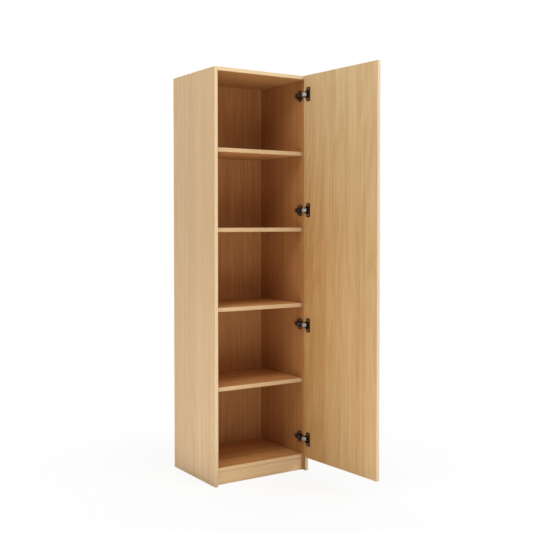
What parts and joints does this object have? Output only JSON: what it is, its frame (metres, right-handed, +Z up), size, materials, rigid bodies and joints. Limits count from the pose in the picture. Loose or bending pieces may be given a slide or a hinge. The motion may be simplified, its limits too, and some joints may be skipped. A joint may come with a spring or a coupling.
{
  "type": "bookcase cabinet",
  "caption": "Tall narrow bookcase cabinet in light wood-grain board, with shelves on pins behind one full-height door that swings on concealed cup hinges.",
  "frame": {"origin": "middle of the plinth's underside, on the floor", "axes": "+Z up, +X to the right along the front, +Y to the back"},
  "size_m": [0.5399, 0.8992, 1.85],
  "materials": {
    "side_board": "satin melamine, vertical grain",
    "cross_board": "satin melamine, grain along the board",
    "back_board": "satin melamine, vertical grain",
    "door_board": "satin melamine, vertical grain",
    "hinge_dark": "dark bronze plating",
    "hinge_bright": "nickel plating",
    "pin_metal": "nickel plating",
    "dowel_wood": "bare beech",
    "knob_metal": "dark bronze plating"
  },
  "bodies": {
    "carcass": {"left_side_panel": "side_board", "right_side_panel": "side_board", "top_panel": "cross_board", "bottom_panel": "cross_board", "plinth": "cross_board", "back_panel": "back_board", "shelf_1": "cross_board", "shelf_2": "cross_board", "shelf_3": "cross_board", "shelf_4": "cross_board", "shelf_1_pin_left_front": "pin_metal", "shelf_1_pin_left_back": "pin_metal", "shelf_1_pin_right_front": "pin_metal", "shelf_1_pin_right_back": "pin_metal", "shelf_2_pin_left_front": "pin_metal", "shelf_2_pin_left_back": "pin_metal", "shelf_2_pin_right_front": "pin_metal", "shelf_2_pin_right_back": "pin_metal", "shelf_3_pin_left_front": "pin_metal", "shelf_3_pin_left_back": "pin_metal", "shelf_3_pin_right_front": "pin_metal", "shelf_3_pin_right_back": "pin_metal", "shelf_4_pin_left_front": "pin_metal", "shelf_4_pin_left_back": "pin_metal", "shelf_4_pin_right_front": "pin_metal", "shelf_4_pin_right_back": "pin_metal", "top_dowel_left_1": "dowel_wood", "top_dowel_left_2": "dowel_wood", "top_dowel_right_1": "dowel_wood", "top_dowel_right_2": "dowel_wood", "bottom_dowel_left_1": "dowel_wood", "bottom_dowel_left_2": "dowel_wood", "bottom_dowel_right_1": "dowel_wood", "bottom_dowel_right_2": "dowel_wood", "plinth_dowel_left_1": "dowel_wood", "plinth_dowel_right_1": "dowel_wood", "hinge_1_plate": "hinge_dark", "hinge_2_plate": "hinge_dark", "hinge_3_plate": "hinge_dark", "hinge_4_plate": "hinge_dark", "hinge_1_arm": "hinge_dark", "hinge_2_arm": "hinge_dark", "hinge_3_arm": "hinge_dark", "hinge_4_arm": "hinge_dark"},
    "hinge_links": {"hinge_1_link": "hinge_bright", "hinge_2_link": "hinge_bright", "hinge_3_link": "hinge_bright", "hinge_4_link": "hinge_bright"},
    "door": {"door_panel": "door_board", "knob": "knob_metal", "hinge_1_cup": "hinge_dark", "hinge_2_cup": "hinge_dark", "hinge_3_cup": "hinge_dark", "hinge_4_cup": "hinge_dark"}
  },
  "joints": [
    {"name": "hinge_links_turn", "type": "hinge", "parent": "carcass", "child": "hinge_links", "pos_m": [0.211, -0.0364, 0.959], "axis": [0, 0, 1], "range_deg": [-3.2, 47.4]},
    {"name": "door_swing", "type": "hinge", "parent": "hinge_links", "child": "door", "pos_m": [0.22403, -0.05363, 0.959], "axis": [0, 0, 1], "range_deg": [-141.02, 9.48]}
  ],
  "couplings": [
    {"joint": "hinge_links_turn", "follows": "door_swing", "ratio": -0.33555}
  ]
}
